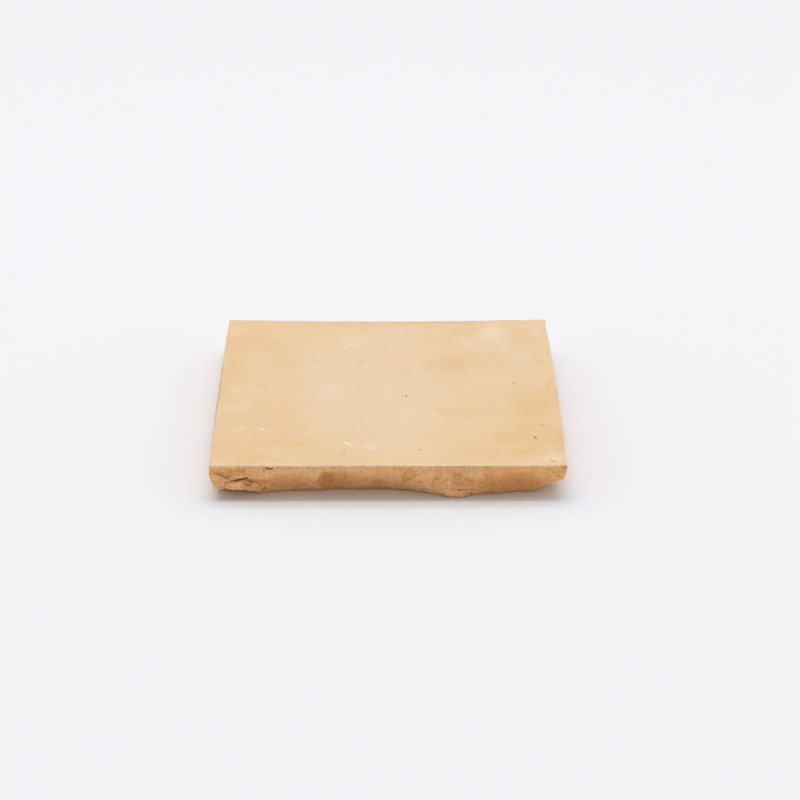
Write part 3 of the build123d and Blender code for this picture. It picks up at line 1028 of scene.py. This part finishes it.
# Wide soft lights stand low to the left and the right, one hangs overhead, one is
# behind, and a weak one is low in front, with a little light from everywhere else.
# Two long lamps hang above, and the camera sees plain white behind the paper.
everywhere = 0.114
from_low_sides = 0.91
from_overhead = 2.2
from_behind = 0.56
from_front = 0.22
backdrop_white = (0.928, 0.928, 0.948, 1)
sky = bpy.data.worlds.new("studio")
bpy.context.scene.world = sky
sky.use_nodes = True
sky_tree = sky.node_tree
direction = add_node(sky_tree, "TexCoord").outputs["Generated"]
direction = add_node(sky_tree, "SeparateXYZ", {0: direction}).outputs
size_x = calculate(sky_tree, "ABSOLUTE", direction["X"])
size_y = calculate(sky_tree, "ABSOLUTE", direction["Y"])
more_sideways = calculate(sky_tree, "SUBTRACT", size_x, size_y)
sideways = ramp(sky_tree, more_sideways, start=-0.05, end=0.05)
lengthways = calculate(sky_tree, "SUBTRACT", 1.0, sideways)
below_top_of_sides = ramp(sky_tree, direction["Z"], start=0.73, end=0.68)
low_sides = calculate(sky_tree, "MULTIPLY", sideways, below_top_of_sides)
overhead = ramp(sky_tree, direction["Z"], start=0.92, end=0.96)
backwards = ramp(sky_tree, direction["Y"], start=0.0, end=0.02)
backwards = calculate(sky_tree, "MULTIPLY", lengthways, backwards)
below_overhead = ramp(sky_tree, direction["Z"], start=0.96, end=0.92)
behind = calculate(sky_tree, "MULTIPLY", backwards, below_overhead)
forwards = ramp(sky_tree, direction["Y"], start=0.0, end=-0.02)
forwards = calculate(sky_tree, "MULTIPLY", lengthways, forwards)
below_top_of_front = ramp(sky_tree, direction["Z"], start=0.36, end=0.32)
low_front = calculate(sky_tree, "MULTIPLY", forwards, below_top_of_front)
soft_lights = [
    (low_sides, from_low_sides),
    (overhead, from_overhead),
    (behind, from_behind),
    (low_front, from_front),
]
brightness = everywhere
for area, added in soft_lights:
    brightness = calculate(sky_tree, "MULTIPLY_ADD", area, added, brightness)
sky_light = sky_tree.nodes["Background"]
sky_light.inputs["Color"].default_value = (1, 1, 1, 1)
sky_tree.links.new(brightness, sky_light.inputs["Strength"])
sky_backdrop = add_node(sky_tree, "Background", {"Color": backdrop_white}).outputs[0]
to_camera = add_node(sky_tree, "LightPath").outputs["Is Camera Ray"]
lit_or_seen = {0: to_camera, 1: sky_light.outputs[0], 2: sky_backdrop}
sky_choice = add_node(sky_tree, "MixShader", lit_or_seen).outputs[0]
sky_tree.links.new(sky_choice, sky_tree.nodes["World Output"].inputs["Surface"])


def hang_lamp(name, share, distance, lean, across, along):
    """A long lamp that gives the ground that share of full light."""
    lamp = bpy.data.lights.new(name, "AREA")
    lamp.shape = "RECTANGLE"
    lamp.size = across
    lamp.size_y = along
    # A wide lamp's ends are further off, so it needs more power for its share.
    loss = 0.65
    makes_up = 1 + (across / distance / 2) ** 2 * loss
    lamp.energy = share * (math.pi * distance) ** 2 / math.cos(lean) * makes_up
    holder = bpy.data.objects.new(name, lamp)
    holder.matrix_world = Matrix.Rotation(-lean, 4, "X") @ Matrix.Translation((0, 0, distance))
    bpy.context.scene.collection.objects.link(holder)


lamp_distance = 1.5
lean_back = math.radians(19.3)
hang_lamp("lamp_overhead", 0.185, lamp_distance, lean=0.0, across=2.4, along=0.10)
hang_lamp("lamp_behind", 0.132, lamp_distance, lean_back, across=2.0, along=0.12)

# The camera looks down at the tile from the front, as the photograph does. Its lens,
# place and tilt put the face's four corners where the photograph has them.
film_width = 36.0
lens = 107.43
camera_distance = 705.88 * mm
camera_aim = Vector((3.61, 0.0, 7.0)) * mm
azimuth = math.radians(-0.462)
elevation = math.radians(25.798)
roll = math.radians(0.130)
view = bpy.data.cameras.new("camera")
view.sensor_width = film_width
view.lens = lens
camera = bpy.data.objects.new("camera", view)
turn = Matrix.Rotation(azimuth, 4, "Z") @ Matrix.Rotation(math.pi / 2 - elevation, 4, "X")
camera.matrix_world = (
    Matrix.Translation(camera_aim)
    @ turn
    @ Matrix.Translation((0, 0, camera_distance))
    @ Matrix.Rotation(roll, 4, "Z")
)
bpy.context.scene.collection.objects.link(camera)
bpy.context.scene.camera = camera
bpy.context.scene.view_settings.view_transform = "Standard"
